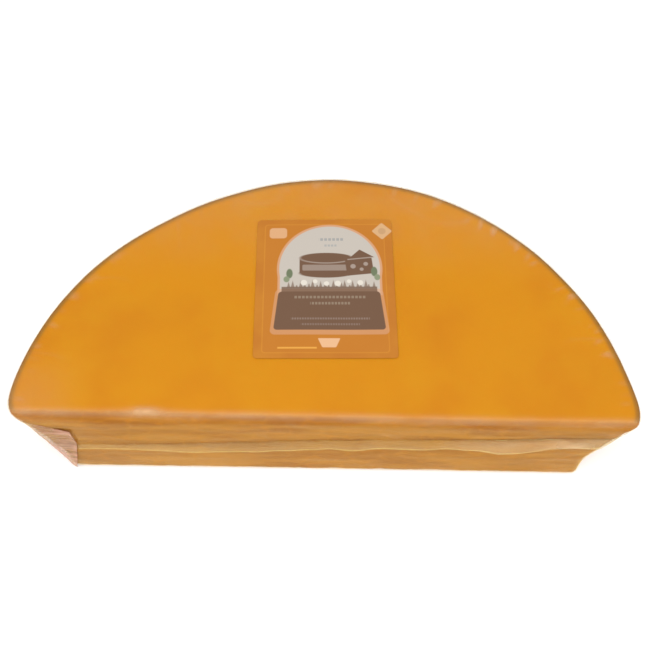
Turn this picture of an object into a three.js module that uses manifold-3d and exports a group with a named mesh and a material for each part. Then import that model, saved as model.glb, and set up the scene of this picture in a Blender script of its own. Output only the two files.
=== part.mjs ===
// Half wheel of orange semi-hard cheese, lying on its flat side. It is vacuum packed between two
// webs of clear film. Their heat-sealed fin runs round the pack at mid height and is folded down
// against the lower web, and a paper label lies on top.
// Millimetres, +Z up. The wheel's axis is vertical and the cut face looks towards -Y. The finished
// group is moved so that the centre of its underside is at the origin.

import * as THREE from 'three';
import { mergeVertices } from 'three/addons/utils/BufferGeometryUtils.js';
import Module from 'manifold-3d';

const wasm = await Module();
wasm.setup();

// Cheese
const CHEESE_HEIGHT = 65.4;
const RIM_RADIUS = 164.3; // the widest radius, just under the top edge
const BASE_RADIUS = 146.6;
const TOP_EDGE_ROUND = 3;
const BASE_EDGE_ROUND = 5;
const CUT_OFFSET = 5.65; // the cut runs this far behind the wheel's axis

// The side between its two rounded edges: it stands upright low down and flares to the rim.
// Each station is a share of the cheese's height and the radius there.
const SIDE_STATIONS = [
  [0.076, BASE_RADIUS],
  [0.36, 147.6],
  [0.57, 152.8],
  [0.79, 158.2],
  [0.954, RIM_RADIUS],
];

// The wheel isn't quite round. Each lobe swells (or flattens) the outline around one bearing.
const OUTLINE_LOBES = [
  { bearingDeg: 0, reachDeg: 9, swell: 1.9 },
  { bearingDeg: 62, reachDeg: 26, swell: 1.7 },
  { bearingDeg: 120, reachDeg: 20, swell: -2.0 },
];

// Film
const GAP = 0.3; // clearance between neighbouring pieces
const FILM_THICKNESS = 0.4;
const SEAM_HEIGHT = 40; // where the webs part, above the film's underside, at the wheel's axis
const SEAM_TILT_DEG = 2.7; // the seam climbs towards +X
const FIN_HANG = 12; // how far the folded fin hangs below the seam

// Label
const LABEL_WIDTH = 77.5;
const LABEL_HEIGHT = 91.5;
const LABEL_THICKNESS = 0.4;
const LABEL_CORNER = 2.5;
const LABEL_CENTRE_FROM_AXIS = 88;
const LABEL_TURN_DEG = 1.5;

// Fineness of the curved surfaces
const TURN_STEPS = 84;
const SIDE_STEPS = 10;
const EDGE_STEPS = 4;

const BEYOND = 500; // safely outside the pack
const LAYER_STEP = GAP + FILM_THICKNESS; // from one layer of film to the next
const CHEESE_BASE = LAYER_STEP;
const FILM_TOP = CHEESE_BASE + CHEESE_HEIGHT + LAYER_STEP;

/** Points of a quarter circle from angle `from` to `to`, both ends included. */
function roundedEdge(centreX, centreZ, radius, from, to) {
  const arc = new THREE.EllipseCurve(centreX, centreZ, radius, radius, from, to);
  return arc.getPoints(EDGE_STEPS);
}

/** The cheese's outline in (radius, height), from the axis at the base to the axis at the top. */
function cheeseProfile() {
  const stations = SIDE_STATIONS.map(
    ([share, radius]) => new THREE.Vector2(radius, CHEESE_BASE + share * CHEESE_HEIGHT),
  );
  const side = new THREE.SplineCurve(stations).getPoints(SIDE_STEPS);
  const top = CHEESE_BASE + CHEESE_HEIGHT;
  return [
    new THREE.Vector2(0, CHEESE_BASE),
    ...roundedEdge(
      BASE_RADIUS - BASE_EDGE_ROUND, CHEESE_BASE + BASE_EDGE_ROUND, BASE_EDGE_ROUND, -Math.PI / 2, 0,
    ).slice(0, -1),
    ...side,
    ...roundedEdge(
      RIM_RADIUS - TOP_EDGE_ROUND, top - TOP_EDGE_ROUND, TOP_EDGE_ROUND, 0, Math.PI / 2,
    ).slice(1),
    new THREE.Vector2(0, top),
  ];
}

/** The same outline grown outwards by `distance`; its ends stay on the axis. */
function grownProfile(profile, distance) {
  const last = profile.length - 1;
  return profile.map((point, index) => {
    const before = profile[Math.max(index - 1, 0)];
    const after = profile[Math.min(index + 1, last)];
    const along = after.clone().sub(before).normalize();
    const grown = new THREE.Vector2(along.y, -along.x).multiplyScalar(distance).add(point);
    if (index === 0 || index === last) grown.x = 0;
    return grown;
  });
}

/** How far the outline stands out from a true circle at a bearing in radians. */
function outOfRound(bearing) {
  return OUTLINE_LOBES.reduce((sum, { bearingDeg, reachDeg, swell }) => {
    const away = THREE.MathUtils.radToDeg(bearing) - bearingDeg;
    return sum + swell * Math.exp(-((away / reachDeg) ** 2));
  }, 0);
}

/** A closed geometry as a solid; triangles that collapsed on the axis are left out. */
function toSolid(geometry) {
  const bare = geometry.clone();
  bare.deleteAttribute('normal');
  bare.deleteAttribute('uv');
  const merged = mergeVertices(bare);
  const index = merged.getIndex().array;
  const triangles = [];
  for (let i = 0; i < index.length; i += 3) {
    const [a, b, c] = [index[i], index[i + 1], index[i + 2]];
    if (a !== b && b !== c && c !== a) triangles.push(a, b, c);
  }
  const vertProperties = new Float32Array(merged.getAttribute('position').array);
  const triVerts = new Uint32Array(triangles);
  return new wasm.Manifold(new wasm.Mesh({ numProp: 3, vertProperties, triVerts }));
}

/** A solid as geometry again. */
function toGeometry(solid) {
  const mesh = solid.getMesh();
  const geometry = new THREE.BufferGeometry();
  geometry.setAttribute('position', new THREE.BufferAttribute(mesh.vertProperties, mesh.numProp));
  geometry.setIndex(new THREE.BufferAttribute(mesh.triVerts, 1));
  geometry.computeVertexNormals();
  return geometry;
}

/** Turns an outline around the wheel's axis and gives it the wheel's out-of-round outline. */
function turnedSolid(profile) {
  const geometry = new THREE.LatheGeometry(profile, TURN_STEPS);
  geometry.rotateX(Math.PI / 2);
  const position = geometry.getAttribute('position');
  for (let i = 0; i < position.count; i += 1) {
    const x = position.getX(i);
    const y = position.getY(i);
    const stretch = 1 + outOfRound(Math.atan2(y, x)) / RIM_RADIUS;
    position.setXY(i, x * stretch, y * stretch);
  }
  return toSolid(geometry);
}

/** The half wheel grown by `distance` on every side, its cut face included. */
function halfWheel(distance) {
  const behindTheCut = new THREE.BoxGeometry(2 * BEYOND, BEYOND, 2 * BEYOND);
  behindTheCut.translate(0, CUT_OFFSET - distance + BEYOND / 2, 0);
  return turnedSolid(grownProfile(cheeseProfile(), distance)).intersect(toSolid(behindTheCut));
}

/** Everything from `low` to `high` above the seam, measured square to the tilted seam. */
function seamLayer(low, high) {
  const slab = new THREE.BoxGeometry(2 * BEYOND, 2 * BEYOND, high - low);
  slab.translate(0, 0, (low + high) / 2);
  slab.rotateY(-THREE.MathUtils.degToRad(SEAM_TILT_DEG));
  slab.translate(0, 0, SEAM_HEIGHT);
  return toSolid(slab);
}

/** The skin of film around the half wheel whose inner face is the `count`th layer out. */
function filmLayer(count, low, high) {
  const inner = GAP + count * LAYER_STEP;
  return halfWheel(inner + FILM_THICKNESS)
    .subtract(halfWheel(inner))
    .intersect(seamLayer(low, high));
}

/** The ledge that joins a web's skin to its half of the fin, `count` layers further out. */
function finRoot(count, low) {
  return halfWheel(count * LAYER_STEP + LAYER_STEP)
    .subtract(halfWheel(GAP))
    .intersect(seamLayer(low, low + FILM_THICKNESS));
}

/** The label's outline: a rectangle with small round corners. */
function labelShape() {
  const [halfWidth, halfHeight] = [LABEL_WIDTH / 2 - LABEL_CORNER, LABEL_HEIGHT / 2 - LABEL_CORNER];
  const quarter = Math.PI / 2;
  const shape = new THREE.Shape();
  shape.absarc(halfWidth, halfHeight, LABEL_CORNER, 0, quarter);
  shape.absarc(-halfWidth, halfHeight, LABEL_CORNER, quarter, 2 * quarter);
  shape.absarc(-halfWidth, -halfHeight, LABEL_CORNER, 2 * quarter, 3 * quarter);
  shape.absarc(halfWidth, -halfHeight, LABEL_CORNER, 3 * quarter, 4 * quarter);
  return shape;
}

/** A named piece with its own material. */
function piece(name, geometry, colour, roughness, extra = {}) {
  const material = new THREE.MeshStandardMaterial({ color: colour, roughness, metalness: 0, ...extra });
  const mesh = new THREE.Mesh(geometry, material);
  mesh.name = name;
  return mesh;
}

function cheeseHalfWheel() {
  return piece('cheese_half_wheel', toGeometry(halfWheel(0)), '#dd9028', 0.55);
}

function filmTopWeb() {
  const seam = GAP / 2;
  const web = filmLayer(0, seam, BEYOND)
    .add(finRoot(2, seam))
    .add(filmLayer(2, -FIN_HANG, seam + FILM_THICKNESS));
  return piece('film_top_web', toGeometry(web), '#f0dcc4', 0.15, { transparent: true, opacity: 0.3 });
}

function filmBottomWeb() {
  const seam = -GAP / 2;
  const web = filmLayer(0, -BEYOND, seam)
    .add(finRoot(1, seam - FILM_THICKNESS))
    .add(filmLayer(1, -FIN_HANG, seam));
  return piece('film_bottom_web', toGeometry(web), '#e6cdb4', 0.15, { transparent: true, opacity: 0.3 });
}

function paperLabel() {
  const geometry = new THREE.ExtrudeGeometry(labelShape(), {
    depth: LABEL_THICKNESS,
    bevelEnabled: false,
    curveSegments: EDGE_STEPS,
  });
  const label = piece('label', geometry, '#d28438', 0.6);
  label.position.set(0, LABEL_CENTRE_FROM_AXIS, FILM_TOP + GAP);
  label.rotation.z = THREE.MathUtils.degToRad(LABEL_TURN_DEG);
  return label;
}

const pack = new THREE.Group();
pack.add(cheeseHalfWheel(), filmTopWeb(), filmBottomWeb(), paperLabel());

const extent = new THREE.Box3().setFromObject(pack);
const middle = extent.getCenter(new THREE.Vector3());
pack.position.set(-middle.x, -middle.y, -extent.min.z);

export default pack;
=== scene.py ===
"""The looks of a half wheel of orange cheese, vacuum packed in clear film, with a printed label.

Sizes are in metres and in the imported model's frame: +X runs along the cut face, -Y points out of
it and +Z is up. The axis that the wheel was turned about stands just outside the cut face.
"""

import logging
import math
from dataclasses import dataclass, field
from enum import Enum
from typing import Iterable, Union

import bmesh
import bpy
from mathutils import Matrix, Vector, noise


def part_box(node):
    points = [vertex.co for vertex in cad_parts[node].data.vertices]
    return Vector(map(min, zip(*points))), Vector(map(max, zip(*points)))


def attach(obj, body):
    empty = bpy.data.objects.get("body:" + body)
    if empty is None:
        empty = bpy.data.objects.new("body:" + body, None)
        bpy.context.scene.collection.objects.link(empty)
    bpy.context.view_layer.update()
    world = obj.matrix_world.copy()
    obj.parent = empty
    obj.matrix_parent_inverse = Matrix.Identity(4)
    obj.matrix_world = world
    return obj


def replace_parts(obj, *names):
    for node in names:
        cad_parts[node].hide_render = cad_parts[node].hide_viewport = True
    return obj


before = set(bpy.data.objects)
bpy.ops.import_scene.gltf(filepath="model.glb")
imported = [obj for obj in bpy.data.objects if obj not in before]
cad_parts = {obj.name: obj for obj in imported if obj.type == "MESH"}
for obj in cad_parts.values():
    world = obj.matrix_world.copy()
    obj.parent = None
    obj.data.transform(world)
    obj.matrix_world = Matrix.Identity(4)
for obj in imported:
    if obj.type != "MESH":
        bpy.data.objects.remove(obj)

MM = 0.001
ORIGIN = (0.0, 0.0, 0.0)
EVEN = (1.0, 1.0, 1.0)
BODY = "root"
log = logging.getLogger("half_wheel")

Feed = Union[bpy.types.NodeSocket, float, tuple]


class Slot(Enum):
    """The record's material slots."""

    CHEESE = "cheese"
    FILM = "clear_film"
    LABEL = "label_paper"


class Web(Enum):
    """The two webs of film, by the CAD node that each replaces."""

    TOP = "film_top_web"
    BOTTOM = "film_bottom_web"


class Shape(Enum):
    """The printed shapes that the label is made of, by their node group's name."""

    BOX = "Printed box"
    DISC = "Printed disc"


def smooth(value: float, low: float, high: float) -> float:
    """Eases from 0 at low to 1 at high.

    Args:
        value: Where to read the curve.
        low: The end that gives 0.
        high: The end that gives 1. It may lie below low.

    Returns:
        A share from 0 to 1.
    """
    share = min(max((value - low) / (high - low), 0.0), 1.0)
    return share * share * (3 - 2 * share)


def bell(value: float, centre: float, reach: float) -> float:
    """Gives 1 at centre, falling off over reach to either side."""
    return math.exp(-(((value - centre) / reach) ** 2))


def colour(code: str) -> tuple[float, float, float, float]:
    """Turns a display colour such as 'e29426' into a linear one with full alpha.

    Args:
        code: Six hexadecimal digits, red first.

    Returns:
        Red, green, blue and alpha.
    """
    shares = [int(code[i : i + 2], 16) / 255 for i in (0, 2, 4)]
    linear = [s / 12.92 if s <= 0.04045 else ((s + 0.055) / 1.055) ** 2.4 for s in shares]
    return (*linear, 1.0)


# ---- Node trees ----


@dataclass
class Tree:
    """A node tree that is being filled.

    Attributes:
        nodes: The tree of a material, a world or a node group.
    """

    nodes: bpy.types.NodeTree

    def feed(self, socket: bpy.types.NodeSocket, value: Feed) -> None:
        """Links or sets one input.

        Args:
            socket: The input.
            value: Another node's output to link, or a plain value.
        """
        if isinstance(value, bpy.types.NodeSocket):
            self.nodes.links.new(value, socket)
        else:
            socket.default_value = value

    def add(
        self, kind: str, inputs: dict[str | int, Feed] | None = None, **settings: object
    ) -> bpy.types.Node:
        """Adds a shader node.

        Args:
            kind: The node's type without its ShaderNode prefix.
            inputs: What goes into its sockets, by name or number.
            settings: The node's own properties.

        Returns:
            The node.
        """
        node = self.nodes.nodes.new("ShaderNode" + kind)
        for name, value in settings.items():
            setattr(node, name, value)
        for name, value in (inputs or {}).items():
            self.feed(node.inputs[name], value)
        return node

    def maths(
        self, operation: str, first: Feed, second: Feed = 0.0, clamp: bool = False
    ) -> bpy.types.NodeSocket:
        """Adds a Math node and returns its result."""
        node = self.add("Math", {0: first, 1: second}, operation=operation, use_clamp=clamp)
        return node.outputs[0]

    def vector(self, operation: str, first: Feed, second: Feed) -> bpy.types.NodeSocket:
        """Adds a Vector Math node and returns its vector."""
        node = self.add("VectorMath", {0: first, 1: second}, operation=operation)
        return node.outputs[0]

    def ramp(
        self, value: Feed, low: Feed, high: Feed, to_low: float = 0.0, to_high: float = 1.0
    ) -> bpy.types.NodeSocket:
        """Maps a value smoothly from one range to another and clamps it.

        Args:
            value: The value that is mapped.
            low: Where the result is to_low.
            high: Where the result is to_high.
            to_low: The result's start.
            to_high: The result's end.

        Returns:
            The mapped value.
        """
        inputs = {"Value": value, "From Min": low, "From Max": high}
        inputs |= {"To Min": to_low, "To Max": to_high}
        return self.add("MapRange", inputs, interpolation_type="SMOOTHSTEP").outputs[0]

    def blend(self, share: Feed, below: Feed, above: Feed) -> bpy.types.NodeSocket:
        """Lays one colour over another.

        Args:
            share: How much of the upper colour shows.
            below: The lower colour.
            above: The upper colour.

        Returns:
            The mixed colour.
        """
        return self.add("Mix", {0: share, 6: below, 7: above}, data_type="RGBA").outputs[2]

    def group(self, name: str, inputs: dict[str | int, Feed]) -> bpy.types.NodeSocket:
        """Places a node group and returns its first output."""
        return self.add("Group", inputs, node_tree=bpy.data.node_groups[name]).outputs[0]


def new_group(
    name: str, sockets: dict[str, Feed], result: str
) -> tuple[Tree, bpy.types.Node, bpy.types.Node]:
    """Starts a node group with one float output.

    Args:
        name: The group's name.
        sockets: Its inputs and their usual values. A tuple makes a vector input.
        result: Its output's name.

    Returns:
        The tree, its input node and its output node.
    """
    made = bpy.data.node_groups.new(name, "ShaderNodeTree")
    for socket, value in sockets.items():
        kind = "NodeSocketVector" if isinstance(value, tuple) else "NodeSocketFloat"
        made.interface.new_socket(socket, in_out="INPUT", socket_type=kind).default_value = value
    made.interface.new_socket(result, in_out="OUTPUT", socket_type="NodeSocketFloat")
    return Tree(made), made.nodes.new("NodeGroupInput"), made.nodes.new("NodeGroupOutput")


def build_mottle_group() -> None:
    """Builds the group for soft patches: noise stretched along any axis and cut to a range."""
    sockets = {"Vector": ORIGIN, "Stretch": EVEN, "Scale": 20.0, "Detail": 3.0}
    tree, given, result = new_group("Mottle", sockets | {"Low": 0.35, "High": 0.65}, "Mask")
    ask = given.outputs
    place = tree.vector("MULTIPLY", ask["Vector"], ask["Stretch"])
    patches = tree.add("TexNoise", {"Vector": place, "Scale": ask["Scale"], "Detail": ask["Detail"]})
    tree.feed(result.inputs[0], tree.ramp(patches.outputs[0], ask["Low"], ask["High"]))


def build_crack_group() -> None:
    """Builds the group for thin lines between rounded cells, such as curd seams or film creases."""
    sockets = {"Vector": ORIGIN, "Stretch": EVEN, "Scale": 120.0, "Width": 0.06}
    tree, given, result = new_group("Cracks", sockets, "Mask")
    ask = given.outputs
    wobble = tree.add("TexNoise", {"Vector": ask["Vector"], "Scale": 160.0, "Detail": 2.0})
    drift = tree.vector("MULTIPLY", wobble.outputs["Color"], (0.006, 0.006, 0.006))
    place = tree.vector("MULTIPLY", tree.vector("ADD", ask["Vector"], drift), ask["Stretch"])
    inputs = {"Vector": place, "Scale": ask["Scale"]}
    cells = tree.add("TexVoronoi", inputs, feature="DISTANCE_TO_EDGE")
    tree.feed(result.inputs[0], tree.ramp(cells.outputs[0], 0.0, ask["Width"], 1.0, 0.0))


def soft_edge(tree: Tree, distance: Feed, softness: Feed) -> bpy.types.NodeSocket:
    """Turns the distance from a printed shape's edge into how much of its ink shows."""
    return tree.maths("SUBTRACT", 0.5, tree.maths("DIVIDE", distance, softness), clamp=True)


def build_printed_box_group() -> None:
    """Builds the group for a printed box with round corners, turned or with leaning sides."""
    sockets = {
        "Vector": ORIGIN, "Centre": ORIGIN, "Half": EVEN,
        "Corner": 0.0, "Lean": 0.0, "Turn": 0.0, "Softness": 0.2,
    }
    tree, given, result = new_group(Shape.BOX.value, sockets, "Mask")
    ask = given.outputs
    away = tree.vector("SUBTRACT", ask["Vector"], ask["Centre"])
    turned = tree.add("VectorRotate", {"Vector": away, "Angle": ask["Turn"]}, rotation_type="Z_AXIS")
    parts = tree.add("SeparateXYZ", {0: turned.outputs[0]}).outputs
    half = tree.add("SeparateXYZ", {0: ask["Half"]}).outputs
    width = tree.maths("SUBTRACT", half[0], tree.maths("MULTIPLY", parts[1], ask["Lean"]))
    across = tree.maths("SUBTRACT", tree.maths("ABSOLUTE", parts[0]), width)
    along = tree.maths("SUBTRACT", tree.maths("ABSOLUTE", parts[1]), half[1])
    corner = ask["Corner"]
    past = [tree.maths("MAXIMUM", tree.maths("ADD", side, corner), 0.0) for side in (across, along)]
    beyond = tree.add("CombineXYZ", {0: past[0], 1: past[1]}).outputs[0]
    length = tree.add("VectorMath", {0: beyond}, operation="LENGTH").outputs["Value"]
    deepest = tree.maths("ADD", tree.maths("MAXIMUM", across, along), corner)
    inside = tree.maths("MINIMUM", deepest, 0.0)
    distance = tree.maths("SUBTRACT", tree.maths("ADD", length, inside), corner)
    tree.feed(result.inputs[0], soft_edge(tree, distance, ask["Softness"]))


def build_printed_disc_group() -> None:
    """Builds the group for a printed disc or ellipse."""
    sockets = {"Vector": ORIGIN, "Centre": ORIGIN, "Half": EVEN, "Softness": 0.2}
    tree, given, result = new_group(Shape.DISC.value, sockets, "Mask")
    ask = given.outputs
    away = tree.vector("SUBTRACT", ask["Vector"], ask["Centre"])
    share = tree.vector("DIVIDE", tree.vector("MULTIPLY", away, (1.0, 1.0, 0.0)), ask["Half"])
    length = tree.add("VectorMath", {0: share}, operation="LENGTH").outputs["Value"]
    half = tree.add("SeparateXYZ", {0: ask["Half"]}).outputs
    narrow = tree.maths("MINIMUM", half[0], half[1])
    distance = tree.maths("MULTIPLY", tree.maths("SUBTRACT", length, 1.0), narrow)
    tree.feed(result.inputs[0], soft_edge(tree, distance, ask["Softness"]))


def new_material(name: str) -> tuple[bpy.types.Material, Tree, bpy.types.Node]:
    """Starts a material with an empty tree.

    Args:
        name: The material's name.

    Returns:
        The material, its tree and its output node.
    """
    material = bpy.data.materials.new(name)
    material.use_nodes = True
    material.node_tree.nodes.clear()
    tree = Tree(material.node_tree)
    return material, tree, tree.add("OutputMaterial")


# ---- Helpers for meshes and objects ----


def shift(bm: bmesh.types.BMesh, moves: list[Vector]) -> None:
    """Moves every vertex by its own step."""
    for vert, move in zip(bm.verts, moves):
        vert.co += move


def put(name: str, data: bpy.types.ID) -> bpy.types.Object:
    """Makes an object of its data and links it to the scene."""
    made = bpy.data.objects.new(name, data)
    bpy.context.scene.collection.objects.link(made)
    return made


# ---- Shared shape ----


@dataclass
class HalfWheel:
    """The shape that the cheese and its film share.

    Attributes:
        axis: Where the wheel's axis meets the cheese's underside.
        height: The cheese's height.
        cut_offset: How far the cut runs behind the axis.
        rim_radius: The widest radius, just under the top edge.
        base_radius: The radius of the upright lower part of the side.
        edge_round: The size of the rounding on every edge.
        crease_round: The wider rounding between the top and the cut face.
        bevel_steps: The number of rows of faces round an edge.
        pitch: The spacing of the surface's grid.
        sway: The size of the faces' broad unevenness.
        ripple: The size of their fine unevenness.
        left_rise: How much higher the cut's left end is.
        flare: The side's outline, as pairs of a share of the height and how far the radius there
            has gone from base_radius to rim_radius.
        lobes: Where the outline swells or flattens, as bearing and reach in degrees and size.
    """

    axis: Vector
    height: float
    cut_offset: float = 5.65 * MM
    rim_radius: float = 165.2 * MM
    base_radius: float = 146.6 * MM
    edge_round: float = 3.0 * MM
    crease_round: float = 5.5 * MM
    bevel_steps: int = 4
    pitch: float = 1.65 * MM
    sway: float = 0.9 * MM
    ripple: float = 0.22 * MM
    left_rise: float = 2.4 * MM
    flare: tuple = ((0.0, 0.0), (0.3, 0.0), (0.57, 0.35), (0.79, 0.655), (0.954, 1.0), (1.0, 1.0))
    lobes: tuple = (
        (0, 9, 1.9 * MM), (0, 4.5, -3.5 * MM), (0, 2.6, -4.0 * MM), (62, 26, 1.7 * MM),
        (120, 20, -2.0 * MM), (180, 5, -3.0 * MM), (180, 2.6, -7.0 * MM),
    )

    @property
    def front(self) -> float:
        """The cut face's place along Y."""
        return self.axis.y + self.cut_offset

    @property
    def top(self) -> float:
        """The top face's height."""
        return self.axis.z + self.height

    def _flare_at(self, share: float) -> float:
        """Reads the side's outline between its stations."""
        for (low, start), (high, end) in zip(self.flare, self.flare[1:]):
            if share <= high:
                return start + (end - start) * max(share - low, 0.0) / (high - low)
        return 1.0

    def radius_at(self, height: float) -> float:
        """The wheel's radius at a height above its underside, with the stations' kinks eased."""
        share = height / self.height
        window = (-0.06, -0.03, 0.0, 0.03, 0.06)
        flare = sum(self._flare_at(share + step) for step in window) / len(window)
        return self.base_radius + (self.rim_radius - self.base_radius) * flare

    def swell(self, bearing: float) -> float:
        """How far the outline stands out from a true circle at a bearing in radians."""
        degrees = math.degrees(bearing)
        return sum(size * bell(degrees, centre, reach) for centre, reach, size in self.lobes)

    def from_outline(self, point: Vector) -> float:
        """How far a point lies inside the wheel's widest outline, seen from above."""
        away = point - self.axis
        return self.rim_radius + self.swell(math.atan2(away.y, away.x)) - math.hypot(away.x, away.y)

    def place(self, across: float, back: float, height: float) -> Vector:
        """Bends a point of a plain block to the half wheel.

        Args:
            across: From -1 at the left end of the cut face to 1 at its right end.
            back: From 0 at the cut face to 1 at the block's back.
            height: Height above the underside.

        Returns:
            The point in the half wheel.
        """
        ring = max(abs(across), back, 1e-9)
        turn = math.pi / 4
        if back >= abs(across):
            bearing = 2 * turn - turn * across / ring
        elif across > 0:
            bearing = turn * back / ring
        else:
            bearing = 4 * turn - turn * back / ring
        cut = self.cut_offset
        radius = self.radius_at(height)
        reach = math.sqrt(radius**2 - (cut * math.cos(bearing)) ** 2) - cut * math.sin(bearing)
        x = ring * reach * math.cos(bearing)
        y = cut + ring * reach * math.sin(bearing)
        stretch = 1 + self.swell(math.atan2(y, x)) / self.rim_radius
        return self.axis + Vector((x * stretch, y * stretch, height))

    def block(self) -> bmesh.types.BMesh:
        """Builds the closed half wheel with rounded edges and an even grid on every face."""
        bm = bmesh.new()
        bmesh.ops.create_cube(bm, size=1.0)
        size = (2 * self.rim_radius, self.rim_radius, self.height)
        bmesh.ops.scale(bm, vec=size, verts=bm.verts)
        bmesh.ops.translate(bm, vec=(0, size[1] / 2, size[2] / 2), verts=bm.verts)
        middle = size[1] / 2
        rounded = [e for e in bm.edges if self._level(e) or any(v.co.y <= middle for v in e.verts)]
        bmesh.ops.bevel(
            bm, geom=rounded, offset=self.edge_round, segments=self.bevel_steps,
            profile=0.5, affect="EDGES", material=-1,
        )
        for axis in range(3):
            self._divide(bm, axis)
        for vert in bm.verts:
            across, back = vert.co.x / size[0] * 2, vert.co.y / size[1]
            vert.co = self.place(across, max(back, 0.0), vert.co.z)
            self._round_crease(vert)
        bm.normal_update()
        self._undulate(bm)
        self._mark_rim_shade(bm)
        return bm

    def _round_crease(self, vert: bmesh.types.BMVert) -> None:
        """Draws a vertex in to the wider rounding between the top and the cut face."""
        centre = Vector((vert.co.x, self.front + self.crease_round, self.top - self.crease_round))
        away = vert.co - centre
        if away.y < 0 < away.z and away.length > self.crease_round:
            vert.co = centre + away * (self.crease_round / away.length)

    @staticmethod
    def _level(edge: bmesh.types.BMEdge) -> bool:
        """True for an edge that lies level."""
        return abs(edge.verts[0].co.z - edge.verts[1].co.z) < 1e-6

    def _divide(self, bm: bmesh.types.BMesh, axis: int) -> None:
        """Divides every long edge that runs along one axis into steps of the grid's pitch."""
        run = []
        for edge in bm.edges:
            along = edge.verts[1].co - edge.verts[0].co
            if along.length > 3 * self.pitch and abs(along[axis]) > 0.999 * along.length:
                run.append(edge)
        cuts = round(max(edge.calc_length() for edge in run) / self.pitch) - 1
        bmesh.ops.subdivide_edges(bm, edges=run, cuts=cuts, use_grid_fill=True)

    def _undulate(self, bm: bmesh.types.BMesh) -> None:
        """Gives the faces the slight unevenness of a pressed cheese. The underside stays flat."""
        moves = []
        for vert in bm.verts:
            rise = smooth(vert.co.z - self.axis.z, 0.0, 10 * MM)
            wide = noise.noise(vert.co * 11.0) * self.sway
            near = noise.noise(vert.co * 37.0 + Vector((5.0, 1.0, 2.0))) * self.ripple
            higher = self.left_rise * smooth(vert.co.x - self.axis.x, 120 * MM, -150 * MM)
            higher *= smooth(vert.co.y - self.front, 80 * MM, 10 * MM)
            lift = higher * (vert.co.z - self.axis.z) / self.height
            moves.append(vert.normal * (wide + near) * rise + Vector((0.0, 0.0, lift)))
        shift(bm, moves)
        bm.normal_update()

    def _mark_rim_shade(self, bm: bmesh.types.BMesh) -> None:
        """Marks the round top edge along the arc and the cut's two upright edges as 'rim', the share of
        painted shade that draws a dark outline along them.
        """
        rim = bm.verts.layers.float.new("rim")
        for vert in bm.verts:
            high = smooth(vert.co.z, self.top - 7 * MM, self.top - 3 * MM)
            arc = high * smooth(self.from_outline(vert.co), 5.4 * MM, 2.2 * MM)
            upright = smooth(abs(vert.normal.x), 0.35, 0.8)
            upright *= smooth(vert.co.y - self.front, 12 * MM, 7 * MM)
            vert[rim] = max(arc, 0.6 * upright)


def cut_through(bm: bmesh.types.BMesh, point: Vector, keep: Vector) -> None:
    """Cuts a mesh along a plane and throws one side away.

    Args:
        bm: The mesh.
        point: A point of the plane.
        keep: The plane's normal, on the side that is kept.
    """
    geometry = [*bm.verts, *bm.edges, *bm.faces]
    bmesh.ops.bisect_plane(bm, geom=geometry, plane_co=point, plane_no=keep, clear_inner=True)
    bm.normal_update()


def finished(
    bm: bmesh.types.BMesh, name: str, material: bpy.types.Material, slot: Slot
) -> bpy.types.Object:
    """Turns a bmesh into a smooth-shaded piece that rides on the body.

    Args:
        bm: The mesh. It is freed.
        name: The piece's name.
        material: Its finish.
        slot: The record's slot that the finish belongs to. It is not used.

    Returns:
        The piece.
    """
    mesh = bpy.data.meshes.new(name)
    bm.to_mesh(mesh)
    bm.free()
    mesh.materials.append(material)
    mesh.polygons.foreach_set("use_smooth", [True] * len(mesh.polygons))
    piece = put(name, mesh)
    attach(piece, BODY)
    log.info("%s: %d faces", name, len(mesh.polygons))
    return piece


# ---- Cheese ----


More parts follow.
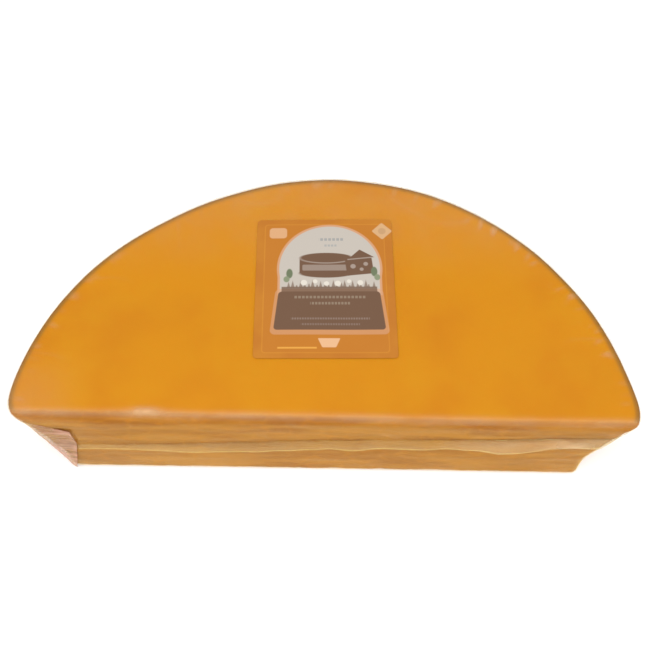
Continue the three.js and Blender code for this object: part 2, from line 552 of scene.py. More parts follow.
@dataclass(frozen=True)
class CheeseFinish:
    """The cheese's orange skin and the paler, closer paste of its cut face.

    Attributes:
        skin: The skin's colour.
        skin_deep: Its deeper patches.
        skin_pale: Its paler patches.
        paste: The cut face's colour, set darker than the skin partly as painted shade on the upright
            face.
        paste_pale: The cut face's paler streaks, darkened in the same way.
        rim: The painted shade that darkens the round top edge and the cut's upright edges into a dark
            outline.
    """

    skin: str = "d88e16"
    skin_deep: str = "d28416"
    skin_pale: str = "d89218"
    paste: str = "a25e08"
    paste_pale: str = "b67418"
    rim: str = "8a6434"

    def material(self, form: HalfWheel) -> bpy.types.Material:
        """Builds the material.

        Args:
            form: The shape, for where its cut face and rim are.

        Returns:
            The material.
        """
        material, tree, output = new_material("Orange cheese")
        place = tree.add("TexCoord").outputs["Object"]
        parts = tree.add("SeparateXYZ", {0: place})
        cut = tree.ramp(parts.outputs[1], form.front + 4.4 * MM, form.front + 1.9 * MM)

        fine = {"Vector": place, "Detail": 4.0}
        deep = tree.group("Mottle", fine | {"Scale": 14.0, "Low": 0.42, "High": 0.7})
        pale = tree.group("Mottle", fine | {"Scale": 33.0, "Low": 0.45, "High": 0.75})
        skin = tree.blend(deep, colour(self.skin), colour(self.skin_deep))
        skin = tree.blend(tree.maths("MULTIPLY", pale, 0.7), skin, colour(self.skin_pale))
        # Painted shade: the 'rim' share darkens the skin into a dark outline along the rounded edges.
        rim = tree.add("Attribute", attribute_name="rim").outputs["Fac"]
        skin = tree.blend(tree.maths("MULTIPLY", rim, 0.78), skin, colour(self.rim))

        drawn_out = {"Stretch": (1.0, 1.0, 6.0), "Scale": 21.0, "Low": 0.38, "High": 0.64}
        streaks = tree.group("Mottle", fine | drawn_out)
        # The paste's colours are the cut face's own, darkened partly as painted shade on the upright
        # face.
        paste = tree.blend(streaks, colour(self.paste), colour(self.paste_pale))
        knit = {"Vector": place, "Stretch": (0.7, 1.0, 1.3), "Scale": 90.0, "Width": 0.05}
        curd = tree.group("Cracks", knit)
        paste = tree.blend(tree.maths("MULTIPLY", curd, 0.35), paste, colour(self.skin_deep))

        grain = tree.add("TexNoise", {"Vector": place, "Scale": 900.0, "Detail": 3.0}).outputs[0]
        seams = tree.maths("MULTIPLY", tree.maths("MULTIPLY", curd, cut), -0.6)
        height = tree.maths("ADD", grain, seams)
        bump = tree.add("Bump", {"Strength": 0.25, "Distance": 0.25 * MM, "Height": height})
        shader = tree.add(
            "BsdfPrincipled",
            {
                "Base Color": tree.blend(cut, skin, paste),
                "Roughness": tree.ramp(deep, 0.0, 1.0, 0.5, 0.6),
                "Normal": bump.outputs[0],
                "Specular IOR Level": 0.1,
                "Subsurface Weight": 0.2,
                "Subsurface Radius": (1.0, 0.45, 0.12),
                "Subsurface Scale": 3.0 * MM,
            },
        )
        tree.feed(output.inputs[0], shader.outputs[0])
        return material


@dataclass
class Cheese:
    """The half wheel of cheese itself.

    Attributes:
        form: Its shape.
        finish: Its colours.
    """

    form: HalfWheel
    finish: CheeseFinish = field(default_factory=CheeseFinish)

    def build(self) -> bpy.types.Object:
        """Builds and dresses the cheese."""
        bm = self.form.block()
        shift(bm, [vert.normal * -self._hollow(vert) for vert in bm.verts])
        piece = finished(bm, "cheese", self.finish.material(self.form), Slot.CHEESE)
        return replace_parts(piece, "cheese_half_wheel")

    def _hollow(self, vert: bmesh.types.BMVert) -> float:
        """How deep the surface is sunk at a vertex by the curd's knit."""
        on_cut = smooth(-vert.normal.y, 0.5, 0.95)
        knit = noise.turbulence(vert.co * 160.0, 3, False)
        return (0.05 + 0.2 * on_cut) * MM * min(knit, 1.0)


# ---- Film ----


@dataclass(frozen=True)
class FilmFinish:
    """Clear glossy film that turns hazy where it is slack, folded or doubled, and where haze is painted
    on as highlights and a paler reflection.

    Attributes:
        haze: The colour of the haze.
        shine: The colour of the film's gloss, warmed by the light that it traps over the cheese.
        slack_share: How hazy the film is where it is wholly slack.
    """

    haze: str = "f2c694"
    shine: str = "ffec94"
    slack_share: float = 0.3

    def material(self, name: str) -> bpy.types.Material:
        """Builds the material under a name."""
        material, tree, output = new_material(name)
        place = tree.add("TexCoord").outputs["Object"]
        slack = tree.add("Attribute", attribute_name="slack").outputs["Fac"]
        cloud = tree.group("Mottle", {"Vector": place, "Scale": 60.0, "Low": 0.3, "High": 0.7})
        density = tree.maths("ADD", tree.maths("MULTIPLY", cloud, 0.5), 0.6)
        patchy = tree.maths("MULTIPLY", slack, density)
        # The slack layer's haze also paints the highlights along the crease and the paler reflection
        # towards the back.
        haze = tree.maths("MULTIPLY", patchy, self.slack_share, clamp=True)
        ripple = tree.add("TexNoise", {"Vector": place, "Scale": 70.0, "Detail": 2.0}).outputs[0]
        crease = tree.group("Cracks", {"Vector": place, "Scale": 60.0, "Width": 0.04})
        folds = tree.maths("MULTIPLY", tree.maths("MULTIPLY", crease, slack), 0.8)
        height = tree.maths("ADD", ripple, folds)
        bump = tree.add("Bump", {"Strength": 0.3, "Distance": 0.5 * MM, "Height": height})
        fresnel = tree.add("Fresnel", {"IOR": 1.28, "Normal": bump.outputs[0]})
        outer = tree.maths("SUBTRACT", 1.0, tree.add("NewGeometry").outputs["Backfacing"])
        gloss = tree.add(
            "BsdfGlossy",
            {"Color": colour(self.shine), "Roughness": 0.14, "Normal": bump.outputs[0]},
        )
        clear = tree.add("MixShader", {0: tree.maths("MULTIPLY", fresnel.outputs[0], outer)})
        tree.feed(clear.inputs[1], tree.add("BsdfTransparent").outputs[0])
        tree.feed(clear.inputs[2], gloss.outputs[0])
        veil = tree.add(
            "BsdfPrincipled",
            {
                "Base Color": colour(self.haze),
                "Roughness": 0.35,
                "Normal": bump.outputs[0],
                "Specular IOR Level": 0.3,
            },
        )
        film = tree.add("MixShader", {0: tree.maths("MULTIPLY", haze, outer)})
        tree.feed(film.inputs[1], clear.outputs[0])
        tree.feed(film.inputs[2], veil.outputs[0])
        tree.feed(output.inputs[0], film.outputs[0])
        return material


@dataclass
class Film:
    """The vacuum pouch: two webs of film, welded in a fin that hangs down at mid height.

    Attributes:
        form: The cheese's shape, which the film follows.
        finish: The film's finish.
        folded: The finish of the folded ear, which is several layers thick.
        clearance: How far the film's outside stands off the cheese.
        slack_lift: How much further it stands off where it is wholly slack.
        thickness: The film's thickness.
        seam_height: Where the webs part above the cheese's underside, at the wheel's axis.
        seam_slope: How steeply the seam climbs towards +X.
        seam_gap: The gap between the webs along the seam.
        fin_hang: How far the fin hangs below the seam.
        weld_hang: How far the lower web reaches down behind the fin, where the two are welded.
        fin_steps: The number of rows of faces down the fin.
        ear_fold: The corners of the folded ear's free edges on the cut face, from its upper tip to
            its foot, as distances from the wheel's axis and below its top.
        ear_edge: The ends of the ear's straight outer edge, in the same way.
    """

    form: HalfWheel
    finish: FilmFinish = FilmFinish()
    folded: FilmFinish = FilmFinish(haze="cc9276", slack_share=0.7)
    clearance: float = 0.45 * MM
    slack_lift: float = 0.45 * MM
    thickness: float = 0.15 * MM
    seam_height: float = 41.9 * MM
    seam_slope: float = 0.06
    seam_gap: float = 0.3 * MM
    fin_hang: float = 11.5 * MM
    weld_hang: float = 0.8 * MM
    fin_steps: int = 8
    ear_fold: tuple = (
        (-155 * MM, 5 * MM), (-132.5 * MM, 14 * MM), (-132 * MM, 28 * MM), (-140.5 * MM, 66 * MM),
    )
    ear_edge: tuple = ((-153.5 * MM, 5 * MM), (-142.5 * MM, 60 * MM))

    def build(self) -> list[bpy.types.Object]:
        """Builds both webs and the folded ear at the left end of the cut face."""
        material = self.finish.material("Clear film")
        webs = [self._web(Web.TOP, material), self._web(Web.BOTTOM, material)]
        return [*webs, self._ear()]

    def seam_at(self, x: float) -> float:
        """The seam's height in the frame at a place along X."""
        return self.form.axis.z + self.seam_height + self.seam_slope * (x - self.form.axis.x)

    def _web(self, web: Web, material: bpy.types.Material) -> bpy.types.Object:
        """Builds one web with its part of the fin.

        Args:
            web: Which of the two.
            material: The film's material.

        Returns:
            The piece.
        """
        bm = self.form.block()
        slack = bm.verts.layers.float.new("slack")
        moves = []
        for vert in bm.verts:
            vert[slack] = self._slack_and_sheen_at(vert)
            lift = self.clearance
            lift += self.slack_lift * vert[slack] * smooth(vert.co.z, 2 * MM, 8 * MM)
            lift += (self.form.axis.z - lift) * smooth(-vert.normal.z, 0.5, 0.95)
            moves.append(vert.normal * lift)
        shift(bm, moves)
        side = 1 if web is Web.TOP else -1
        self._part_at_seam(bm, side)
        self._hang_fin(bm, side, slack)
        name = "film_top" if web is Web.TOP else "film_bottom"
        piece = finished(bm, name, material, Slot.FILM)
        self._thicken(piece)
        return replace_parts(piece, web.value)

    def _part_at_seam(self, bm: bmesh.types.BMesh, side: int) -> None:
        """Cuts the skin along the seam and keeps what is above it (1) or below it (-1)."""
        x = self.form.axis.x
        middle = Vector((x, 0.0, self.seam_at(x) + side * self.seam_gap / 2))
        up = Vector((-self.seam_slope, 0.0, 1.0)).normalized()
        cut_through(bm, middle, up * side)

    def _hang_fin(
        self, bm: bmesh.types.BMesh, side: int, slack: bmesh.types.BMLayerItem
    ) -> None:
        """Extrudes the open edge into the web's part of the fin, out and then down.

        Args:
            bm: The web's mesh, open along the seam.
            side: 1 for the upper web, which makes the whole fin, or -1 for the lower, whose edge
                is welded to the fin's inside just below the seam.
            slack: The layer that says how slack the film is, and where haze is painted on as light.
        """
        steps = self.fin_steps if side > 0 else 1
        rim = [edge for edge in bm.edges if edge.is_boundary]
        carried = {}
        for vert in {v for edge in rim for v in edge.verts}:
            flat = Vector((vert.normal.x, vert.normal.y, 0.0)).normalized()
            carried[vert] = (vert.co.copy(), flat)
        for step in range(1, steps + 1):
            made = bmesh.ops.extrude_edge_only(bm, edges=rim)["geom"]
            rim = [item for item in made if isinstance(item, bmesh.types.BMEdge)]
            moved = {}
            for vert in {v for edge in rim for v in edge.verts}:
                beside = (edge.other_vert(vert) for edge in vert.link_edges)
                parent = next(other for other in beside if other in carried)
                root, flat = carried[parent]
                share = step / steps
                if side < 0:
                    share *= self.weld_hang / self.fin_hang
                vert.co = self._fin_point(root, flat, share, side)
                vert[slack] = self._fin_slack_and_sheen(root, flat) * smooth(step, 0, 2)
                moved[vert] = (root, flat)
            carried = moved
        bm.normal_update()

    def _fin_slack_and_sheen(self, root: Vector, flat: Vector) -> float:
        """How hazy the fin is: most at the right end and round the arc, least along the cut. The haze
        is partly the welded film's own and partly painted highlight that brightens the fin.
        """
        x = (root.x - self.form.axis.x) / MM
        on_cut = smooth(-flat.y, 0.3, 0.9)
        right = 0.7 * smooth(x, 50, 105) + 0.4 * smooth(x, 110, 140)
        left = 0.1 * smooth(x, -90, -130)
        return 0.55 - on_cut * (0.2 - right - left)

    def _fin_point(self, root: Vector, flat: Vector, share: float, side: int) -> Vector:
        """Where a point of the fin lies.

        Args:
            root: The seam's point that it hangs from.
            flat: The level direction out of the pack there.
            share: How far down the fin it is, from 0 to 1.
            side: 1 for the outer layer, -1 for the inner one.

        Returns:
            The point.
        """
        form = self.form
        x = (root.x - form.axis.x) / MM
        on_cut = smooth(-flat.y, 0.3, 0.9)
        left = smooth(x, -55, -125)
        right = smooth(x, 60, 110)
        end = smooth(abs(x), 125, 150)
        hang = self.fin_hang * (1 - 0.45 * left * on_cut)
        hang += 3.2 * MM * right * on_cut * math.cos((x - 124) / 56 * 2 * math.pi + math.pi)
        hang += 1.5 * MM * noise.noise(root * 45.0)
        wave = 1.3 + 1.3 * right * on_cut + 1.1 * noise.noise(root * 70.0 + Vector((3.0, 0.0, 0.0)))
        stand = max(wave * (1 - 0.75 * left) * (1 - 0.8 * end), 0.4) * MM
        out = stand * (1 - (1 - share) ** 2.2) + (side - 1) / 2 * self.seam_gap
        down = hang * share**1.25
        level = root.z - form.axis.z
        draw_in = form.radius_at(level - down) / form.radius_at(level) - 1
        middle = Vector((form.axis.x, form.front, root.z))
        return root + flat * out + (root - middle) * draw_in - Vector((0.0, 0.0, down))

    def _slack_and_sheen_at(self, vert: bmesh.types.BMVert) -> float:
        """How slack the film is at a vertex, from 0 where it lies tight to 1 in a deep fold, with haze
        added as painted highlights along the crease and as a paler painted reflection towards the back
        of the top.
        """
        form = self.form
        offset = vert.co - form.axis
        bearing = math.atan2(offset.y, offset.x)
        reach = math.hypot(offset.x, offset.y)
        on_cut = smooth(-vert.normal.y, 0.3, 0.9)
        on_arc = (1 - on_cut) * (1 - smooth(abs(vert.normal.z), 0.7, 1.0))
        along = bearing * form.rim_radius
        inside = 0.0
        if vert.normal.z > 0.5:
            inside = max(form.rim_radius + form.swell(bearing) - reach, 0.0)
        below = max(form.top - vert.co.z, 0.0)
        from_edge = max(inside, below * 0.7)
        back_right = 0.35 + 0.65 * bell(math.degrees(bearing), 38, 24)
        pucker = noise.noise(Vector((along / (4.4 * MM), from_edge / (9 * MM), 3.1)))
        pucker = max(pucker - 0.12, 0.0)
        shoulder = 3.2 * pucker * bell(from_edge, 6.5 * MM, 3.2 * MM) * back_right * (1 - on_cut)
        from_seam = abs(vert.co.z - self.seam_at(vert.co.x))
        gather = max(noise.noise(Vector((along / (5 * MM), vert.co.z / (25 * MM), 9.4))), 0.0)
        seam = 1.2 * gather * bell(from_seam, 0, 9 * MM) * on_arc
        ends = smooth(abs(offset.x), form.base_radius - 34 * MM, form.base_radius) * on_cut
        pulled = noise.noise(Vector((offset.x / (24 * MM), 0.0, vert.co.z / (2.6 * MM))))
        corner = 0.8 * ends * max(pulled, 0.0)
        line = max(1 - abs(noise.noise(vert.co * 18.0)) * 22, 0.0)
        stray = 0.2 * line * smooth(from_edge, 30 * MM, 12 * MM)
        foot = 0.1 * on_cut * smooth(vert.co.z, self.seam_at(vert.co.x) - 10 * MM, 6 * MM)
        # Painted reflection: haze that grows towards the back of the top pales it, as a grazing
        # reflection would.
        far = 0.4 * smooth(offset.y, 85 * MM, 155 * MM)
        tip = smooth(-offset.x, 115 * MM, 160 * MM) * smooth(offset.y, 50 * MM, 10 * MM)
        far += 0.45 * tip * (1 - on_cut)
        drawn = noise.noise(Vector((offset.x / (45 * MM), 7.7, vert.co.z / (3.4 * MM))))
        drawn = 0.4 * on_cut * max(drawn, 0.0)
        from_crease = math.hypot(vert.co.y - form.front, form.top - vert.co.z)
        upward = smooth(vert.normal.z, 0.3, 0.8)
        # Painted highlight: haze over the upper part of the crease's rounding stands in for the lamp's
        # highlight along it.
        crease = 0.85 * upward * bell(from_crease, 2.8 * MM, 2.1 * MM)
        # Painted highlight: a spot of haze on the crease, over a small lift of the film, stands in for
        # a glint.
        glint = 1.9 * upward * bell(offset.x, -91 * MM, 7 * MM)
        glint *= bell(from_crease, 4.2 * MM, 2.0 * MM)
        return min(shoulder + seam + corner + stray + foot + far + drawn + crease, 1.2) + glint

    def _ear(self) -> bpy.types.Object:
        """Builds the pouch's spare film at the left end, folded flat onto the cut face.

        The ear is a patch of the same skin, bounded by the wheel's upright edge and by its own free
        edges. It stands off where the side of the wheel draws in.

        Returns:
            The piece.
        """
        form = self.form
        bm = form.block()
        slack = bm.verts.layers.float.new("slack")
        left, top = form.axis.x, form.top
        fold = [Vector((left + across, 0.0, top - down)) for across, down in self.ear_fold]
        sides = [end - start for start, end in zip(fold, fold[1:])]
        normals = [Vector((side.z, 0.0, -side.x)).normalized() for side in sides]
        for start, normal in zip(fold, normals):
            cut_through(bm, start, normal)
        cut_through(bm, Vector((0.0, form.front + 7 * MM, 0.0)), Vector((0.0, -1.0, 0.0)))
        cut_through(bm, Vector((0.0, 0.0, form.axis.z + 1.0 * MM)), Vector((0.0, 0.0, 1.0)))
        moves = []
        for vert in bm.verts:
            inside = min((vert.co - start).dot(normal) for start, normal in zip(fold, normals))
            ruck = noise.noise(Vector((vert.co.x * 40, 0.0, vert.co.z / (1.9 * MM))))
            free = smooth(inside, 3.0 * MM, 0.0)
            settle = smooth(form.top - vert.co.z, 5 * MM, 20 * MM)
            rise = (0.8 + 0.5 * free) * MM + 0.45 * MM * max(ruck, 0.0)
            lift = self.clearance + settle * rise
            outward = min(self._ear_edge_at(vert.co.z) - vert.co.x, 0.0)
            outward *= smooth(-vert.normal.x, 0.1, 0.6)
            vert[slack] = 0.8 + 0.25 * free + 0.7 * ruck + smooth(-outward, 0.3 * MM, 2.5 * MM)
            moves.append(vert.normal * lift + Vector((outward, 0.0, 0.0)))
        shift(bm, moves)
        piece = finished(bm, "film_ear", self.folded.material("Folded film"), Slot.FILM)
        self._thicken(piece)
        return piece

    def _ear_edge_at(self, height: float) -> float:
        """The place along X of the ear's outer edge at a height."""
        (upper, start), (lower, end) = self.ear_edge
        down = self.form.top - height - start
        return self.form.axis.x + upper + (lower - upper) * down / (end - start)

    def _thicken(self, piece: bpy.types.Object) -> None:
        """Gives a sheet of film its thickness, on its inner side."""
        solid = piece.modifiers.new("Thickness", "SOLIDIFY")
        solid.thickness = self.thickness
        solid.offset = -1.0


# ---- Label ----


@dataclass(frozen=True)
class Print:
    """One printed shape. Places and sizes are in millimetres from the label's centre.

    Attributes:
        shape: A box or a disc.
        centre: Its middle, across and up.
        half: Half its width and half its height.
        ink: Its colour.
        corner: The radius of a box's corners.
        lean: How far a box's sides lean outwards for each millimetre down.
        turn: A box's turn in degrees.
        cover: How much of what is below it hides.
        dash: The pitch of its dashes, or 0 for a solid shape.
        softness: The width over which its edge bleeds into the paper.
    """

    shape: Shape
    centre: tuple[float, float]
    half: tuple[float, float]
    ink: str
    corner: float = 0.0
    lean: float = 0.0
    turn: float = 0.0
    cover: float = 1.0
    dash: float = 0.0
    softness: float = 0.45


@dataclass(frozen=True)
class LabelFinish:
    """The label's artwork: an arched panel with a cheese on a shelf of grass, and plain rules.

    Attributes:
        ground: The ground's orange.
        ground_pale: The ground's faded patches.
        line: The thin frame line's colour.
        edge: The pale edge of the arched panel.
        panel: The panel's off-white.
        brown: The brown of the lower band and the motif.
        brown_pale: The motif's light parts.
        bloom: The flowers' white.
        middle: How far right of the label's centre the artwork's centre is, in millimetres.
    """

    ground: str = "c2782a"
    ground_pale: str = "d08a2c"
    line: str = "e8a23c"
    edge: str = "d6a078"
    panel: str = "c8bfb4"
    brown: str = "755844"
    brown_pale: str = "a8968a"
    bloom: str = "e4dccf"
    middle: float = 2.7

    def prints(self) -> Iterable[Print]:
        """Lists the printed shapes, from the lowest layer to the highest."""
        mid = self.middle
        yield Print(Shape.BOX, (0.0, 0.0), (34.4, 42.6), self.line, corner=2.0, cover=0.3)
        yield Print(Shape.BOX, (0.0, 0.0), (33.9, 42.1), self.ground, corner=1.6, cover=0.8)
        for grow, ink in ((1.3, self.edge), (0.0, self.panel)):
            yield Print(Shape.DISC, (mid, 12.0), (28.4 + grow, 28.9 + grow), ink)
            yield Print(Shape.BOX, (mid, 4.0), (27.9 + grow, 10.0), ink)
        band = mid - 0.4
        yield Print(Shape.BOX, (band, -16.4), (31.2, 14.7), self.edge, corner=3.0, lean=0.1, cover=0.6)
        yield Print(Shape.BOX, (band, -15.8), (29.4, 12.3), self.brown, corner=2.0, lean=0.1)
        yield Print(Shape.BOX, (mid - 18.0, -39.3), (10.5, 0.5), "f0b050", cover=0.8)
        yield from self._wheel(mid - 2.0)
        yield from self._wedge(mid + 16.8)
        yield from self._meadow(mid)
        yield from self._rules(mid)
        yield from self._badges(mid)

    def _wheel(self, across: float) -> Iterable[Print]:
        """A whole cheese seen from the side, with a plain band round it."""
        half = 15.0
        yield Print(Shape.DISC, (across, 8.6), (half, 3.0), self.brown)
        yield Print(Shape.BOX, (across, 13.6), (half, 5.0), self.brown)
        yield Print(Shape.DISC, (across, 18.8), (half, 3.6), self.brown_pale)
        yield Print(Shape.DISC, (across, 19.2), (half - 0.5, 3.3), self.brown)
        band = (half - 1.6, 2.0)
        yield Print(Shape.BOX, (across, 12.4), band, self.brown_pale, corner=0.8, cover=0.75)

    def _wedge(self, across: float) -> Iterable[Print]:
        """A wedge of cheese that leans on the wheel, with three eyes in its cut."""
        yield Print(Shape.BOX, (across, 13.0), (7.6, 5.4), self.brown, turn=-6, corner=0.6)
        yield Print(Shape.BOX, (across + 0.6, 21.6), (3.9, 3.0), self.brown, turn=-6, lean=1.25)
        yield Print(Shape.BOX, (across + 0.3, 18.6), (7.0, 0.35), self.brown_pale, turn=-6)
        for right, up, size in ((-3.6, 13.2, 1.5), (1.2, 11.2, 1.1), (3.6, 14.8, 1.3)):
            yield Print(Shape.DISC, (across + right, up), (size, size), self.brown_pale)

    def _meadow(self, mid: float) -> Iterable[Print]:
        """Shrubs, grass and small white flowers between the motif and the lower band."""
        yield Print(Shape.BOX, (mid - 0.3, -3.0), (26.6, 2.6), self.brown, cover=0.85)
        for side, across, up in ((-1, -22.6, 8.4), (1, 25.0, 9.6)):
            yield Print(Shape.DISC, (mid + across, up), (1.8, 3.2), "727c60")
            yield Print(Shape.DISC, (mid + across + side * 1.6, up - 3.8), (1.7, 2.0), "8d9578")
        for step in range(22):
            across = -23.0 + 2.25 * step + 0.5 * math.sin(step * 3.1)
            tall = 1.7 + 1.0 * math.sin(step * 2.4)
            blade = (mid + across, tall - 0.8)
            yield Print(Shape.BOX, blade, (0.5, tall), self.brown, cover=0.7, lean=0.24)
        for step in range(6):
            across = -14.5 + 6.3 * step
            up = 2.3 + 0.9 * math.sin(step * 1.9)
            size = 1.5 + 0.3 * math.cos(step * 2.3)
            yield Print(Shape.DISC, (mid + across, up), (size, size), self.bloom)

    def _rules(self, mid: float) -> Iterable[Print]:
        """Plain rules in the places of small print."""
        for across, up, half, thick, ink, cover, dash in (
            (1.0, 31.8, 7.0, 0.9, "9a9c9c", 0.75, 2.3),
            (0.5, 27.6, 3.6, 0.7, "a6a8a6", 0.75, 1.9),
            (0.0, -7.2, 20.0, 0.8, "a4927e", 0.6, 2.1),
            (0.0, -11.2, 11.0, 0.8, "a4927e", 0.6, 1.8),
            (0.0, -21.0, 21.5, 0.6, "958074", 0.75, 1.4),
            (0.0, -24.6, 16.0, 0.6, "958074", 0.6, 1.4),
        ):
            yield Print(Shape.BOX, (mid + across, up), (half, thick), ink, cover=cover, dash=dash)

    def _badges(self, mid: float) -> Iterable[Print]:
        """Three small pale badges: top left, top right and bottom."""
        yield Print(Shape.BOX, (-26.6, 36.4), (5.0, 3.6), "e4b488", corner=2.0, cover=0.8)
        yield Print(Shape.BOX, (mid + 30.4, 37.6), (4.2, 4.2), "dcb284", corner=0.8, turn=45, cover=0.9)
        yield Print(Shape.DISC, (mid + 30.4, 37.6), (2.2, 2.2), "b89068", cover=0.5)
        yield Print(Shape.BOX, (mid - 0.8, -36.2), (4.9, 2.8), "e9b88c", corner=0.6, lean=-0.42)

    def material(self, centre: Vector, turn: float) -> bpy.types.Material:
        """Builds the material.

        Args:
            centre: The label's centre in the frame.
            turn: The label's turn about Z, in radians.

        Returns:
            The material.
        """
        material, tree, output = new_material("Printed label")
        place = tree.add("TexCoord").outputs["Object"]
        mapping = {"Vector": place, "Location": centre, "Rotation": (0.0, 0.0, turn)}
        mapping["Scale"] = (MM, MM, MM)
        spot = tree.add("Mapping", mapping, vector_type="TEXTURE").outputs[0]
        fade = tree.group("Mottle", {"Vector": place, "Scale": 45.0, "High": 0.7})
        faded = tree.maths("MULTIPLY", fade, 0.5)
        ink = tree.blend(faded, colour(self.ground), colour(self.ground_pale))
        for item in self.prints():
            ink = tree.blend(self._mask(tree, spot, item), ink, colour(item.ink))
        fibre = tree.add("TexNoise", {"Vector": place, "Scale": 1500.0, "Detail": 2.0}).outputs[0]
        bump = tree.add("Bump", {"Strength": 0.12, "Distance": 0.05 * MM, "Height": fibre})
        shader = tree.add(
            "BsdfPrincipled",
            {
                "Base Color": ink,
                "Roughness": tree.ramp(fade, 0.0, 1.0, 0.38, 0.5),
                "Normal": bump.outputs[0],
                "Specular IOR Level": 0.2,
            },
        )
        tree.feed(output.inputs[0], shader.outputs[0])
        return material

    @staticmethod
    def _mask(tree: Tree, spot: bpy.types.NodeSocket, item: Print) -> bpy.types.NodeSocket:
        """Places one printed shape's group and returns how much of its ink shows."""
        inputs: dict[str | int, Feed] = {"Vector": spot, "Softness": item.softness}
        inputs |= {"Centre": (*item.centre, 0.0), "Half": (*item.half, 1.0)}
        if item.shape is Shape.BOX:
            inputs |= {"Corner": item.corner, "Lean": item.lean, "Turn": math.radians(item.turn)}
        mask = tree.group(item.shape.value, inputs)
        if item.dash:
            x = tree.add("SeparateXYZ", {0: spot}).outputs[0]
            wave = tree.maths("SINE", tree.maths("MULTIPLY", x, 2 * math.pi / item.dash))
            mask = tree.maths("MULTIPLY", mask, tree.ramp(wave, -0.75, -0.35))
        return tree.maths("MULTIPLY", mask, item.cover)


@dataclass
class Label:
    """The paper label on the pack's top face.

    Attributes:
        form: The cheese's shape, which the label follows. It is not used.
        centre: The label's centre, at the height of its underside.
        size: Its width and height.
        turn: Its turn about Z, in radians.
        thickness: The paper's thickness.
        gap: How far it stands off the film.
        corner: The radius of its corners.
        rows: The number of rows and columns of faces that it is divided into.
        finish: Its artwork.
    """

    form: HalfWheel
    centre: Vector
    size: tuple[float, float] = (77.5 * MM, 91.5 * MM)
    turn: float = math.radians(1.5)
    thickness: float = 0.12 * MM
    gap: float = 0.04 * MM
    corner: float = 2.0 * MM
    rows: int = 30
    finish: LabelFinish = field(default_factory=LabelFinish)

    def build(self, rest_on: bpy.types.Object) -> bpy.types.Object:
        """Builds the label and lays it on the film.

        Args:
            rest_on: The web of film under it.

        Returns:
            The piece.
        """
        bm = bmesh.new()
        bmesh.ops.create_cube(bm, size=1.0)
        bmesh.ops.scale(bm, vec=(*self.size, self.thickness), verts=bm.verts)
        ends = ((edge, *edge.verts) for edge in bm.edges)
        upright = [e for e, low, high in ends if abs(low.co.z - high.co.z) > self.thickness / 2]
        bmesh.ops.bevel(
            bm, geom=upright, offset=self.corner, segments=4,
            profile=0.5, affect="EDGES", material=-1,
        )
        for axis in range(2):
            normal = Vector((1.0 - axis, float(axis), 0.0))
            for step in range(1, self.rows):
                offset = normal * self.size[axis] * (step / self.rows - 0.5)
                geometry = [*bm.verts, *bm.edges, *bm.faces]
                bmesh.ops.bisect_plane(bm, geom=geometry, plane_co=offset, plane_no=normal)
        turned = Vector((math.cos(self.turn), math.sin(self.turn)))
        for vert in bm.verts:
            x = vert.co.x * turned.x - vert.co.y * turned.y + self.centre.x
            y = vert.co.x * turned.y + vert.co.y * turned.x + self.centre.y
            found, spot, _, _ = rest_on.ray_cast(Vector((x, y, 1.0)), Vector((0.0, 0.0, -1.0)))
            base = spot.z if found else self.centre.z
            vert.co = Vector((x, y, base + vert.co.z + self.thickness / 2 + self.gap))
        for edge in bm.edges:
            edge.smooth = edge.calc_face_angle(0.0) < math.radians(40)
        material = self.finish.material(self.centre, self.turn)
        piece = finished(bm, "paper_label", material, Slot.LABEL)
        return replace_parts(piece, "label")


# ---- Studio ----


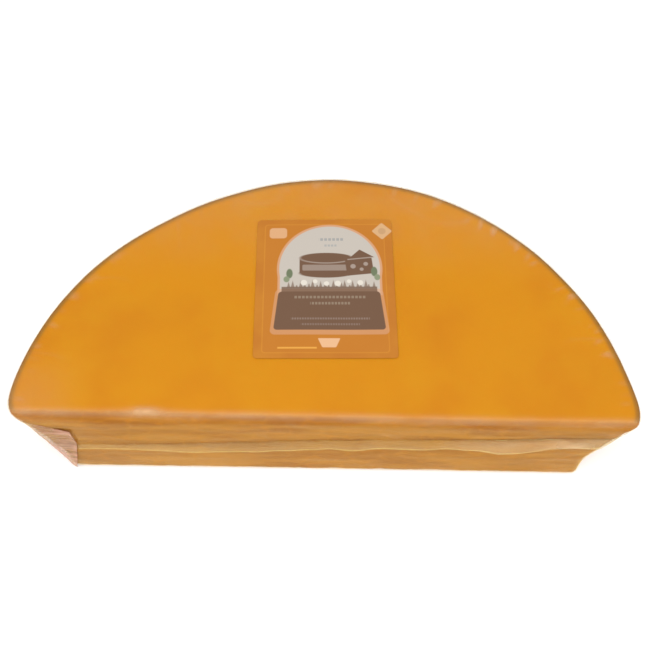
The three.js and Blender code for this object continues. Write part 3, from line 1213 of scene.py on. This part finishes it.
@dataclass
class Studio:
    """The floor, the lights and the camera.

    Attributes:
        form: The cheese's shape, which the camera aims at.
        camera_spot: The camera's place from the wheel's axis on the top face, in wheel radii.
        camera_aim: The point that it looks at, from the same place.
        lens: The lens in millimetres.
        floor_width: The floor's width.
        radius: The wheel radius that the camera's places are given in.
        film_rise: How far the pack's top lies above the cheese's.
        daylight: The strength of the room's even light.
    """

    form: HalfWheel
    camera_spot: tuple[float, float, float] = (0.029, -1.1, 2.53)
    camera_aim: tuple[float, float, float] = (0.0025, 0.381, 0.0)
    lens: float = 49.4
    floor_width: float = 12.0
    radius: float = 165.0 * MM
    film_rise: float = 0.7 * MM
    daylight: float = 0.52

    def build(self) -> None:
        """Sets everything up."""
        self._floor()
        self._world()
        self._lamp("overhead", (0.0, -0.32, 1.1), (1.3, 0.55), 7.2)
        self._lamp("front", (-0.4, -1.3, 1.15), (1.4, 0.4), 6.5)
        self._camera()
        bpy.context.scene.view_settings.view_transform = "Standard"

    def _floor(self) -> None:
        """Lays a plain pale floor under the object."""
        bm = bmesh.new()
        bmesh.ops.create_grid(bm, x_segments=1, y_segments=1, size=self.floor_width / 2)
        mesh = bpy.data.meshes.new("floor")
        bm.to_mesh(mesh)
        bm.free()
        material, tree, output = new_material("Pale floor")
        shader = tree.add(
            "BsdfPrincipled",
            {
                "Base Color": (0.93, 0.93, 0.93, 1.0),
                "Roughness": 0.9,
                "Specular IOR Level": 0.1,
                "Emission Color": (1.0, 1.0, 1.0, 1.0),
                "Emission Strength": 0.25,
            },
        )
        tree.feed(output.inputs[0], shader.outputs[0])
        mesh.materials.append(material)
        floor = put("floor", mesh)

    def _world(self) -> None:
        """Fills the room with even white light."""
        world = bpy.data.worlds.new("Studio")
        world.use_nodes = True
        background = world.node_tree.nodes["Background"]
        background.inputs["Color"].default_value = (1.0, 1.0, 1.0, 1.0)
        background.inputs["Strength"].default_value = self.daylight
        bpy.context.scene.world = world

    def _lamp(
        self, name: str, place: tuple[float, float, float], size: tuple[float, float], power: float
    ) -> None:
        """Hangs a soft box that faces the object.

        Args:
            name: The lamp's name.
            place: Where it hangs.
            size: Its width and height.
            power: Its power in watts.
        """
        lamp = bpy.data.lights.new(name, "AREA")
        lamp.shape = "RECTANGLE"
        lamp.size, lamp.size_y = size
        lamp.energy = power
        holder = put(name, lamp)
        holder.location = place
        holder.rotation_euler = (-Vector(place)).to_track_quat("-Z", "Y").to_euler()

    def _camera(self) -> None:
        """Sets the camera up in front of the cut face, looking down on the label."""
        level = self.form.axis + Vector((0.0, 0.0, self.form.height + self.film_rise))
        spot = level + Vector(self.camera_spot) * self.radius
        aim = level + Vector(self.camera_aim) * self.radius
        camera = bpy.data.cameras.new("camera")
        camera.lens = self.lens
        holder = put("camera", camera)
        holder.location = spot
        holder.rotation_euler = (aim - spot).to_track_quat("-Z", "Y").to_euler()
        bpy.context.scene.camera = holder


def main() -> None:
    """Builds every piece, dresses it and sets up the studio."""
    logging.basicConfig(level=logging.INFO, format="%(name)s: %(message)s")
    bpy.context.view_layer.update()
    build_mottle_group()
    build_crack_group()
    build_printed_box_group()
    build_printed_disc_group()
    cheese_low, cheese_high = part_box("cheese_half_wheel")
    label_low, label_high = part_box("label")
    label_centre = (label_low + label_high) / 2
    label_centre.z = label_low.z
    axis = Vector((label_centre.x, cheese_low.y - HalfWheel.cut_offset, cheese_low.z))
    form = HalfWheel(axis=axis, height=cheese_high.z - cheese_low.z)
    Studio(form).build()
    Cheese(form).build()
    top_web, *_ = Film(form).build()
    Label(form, label_centre).build(rest_on=top_web)


if __name__ == "__main__":
    main()
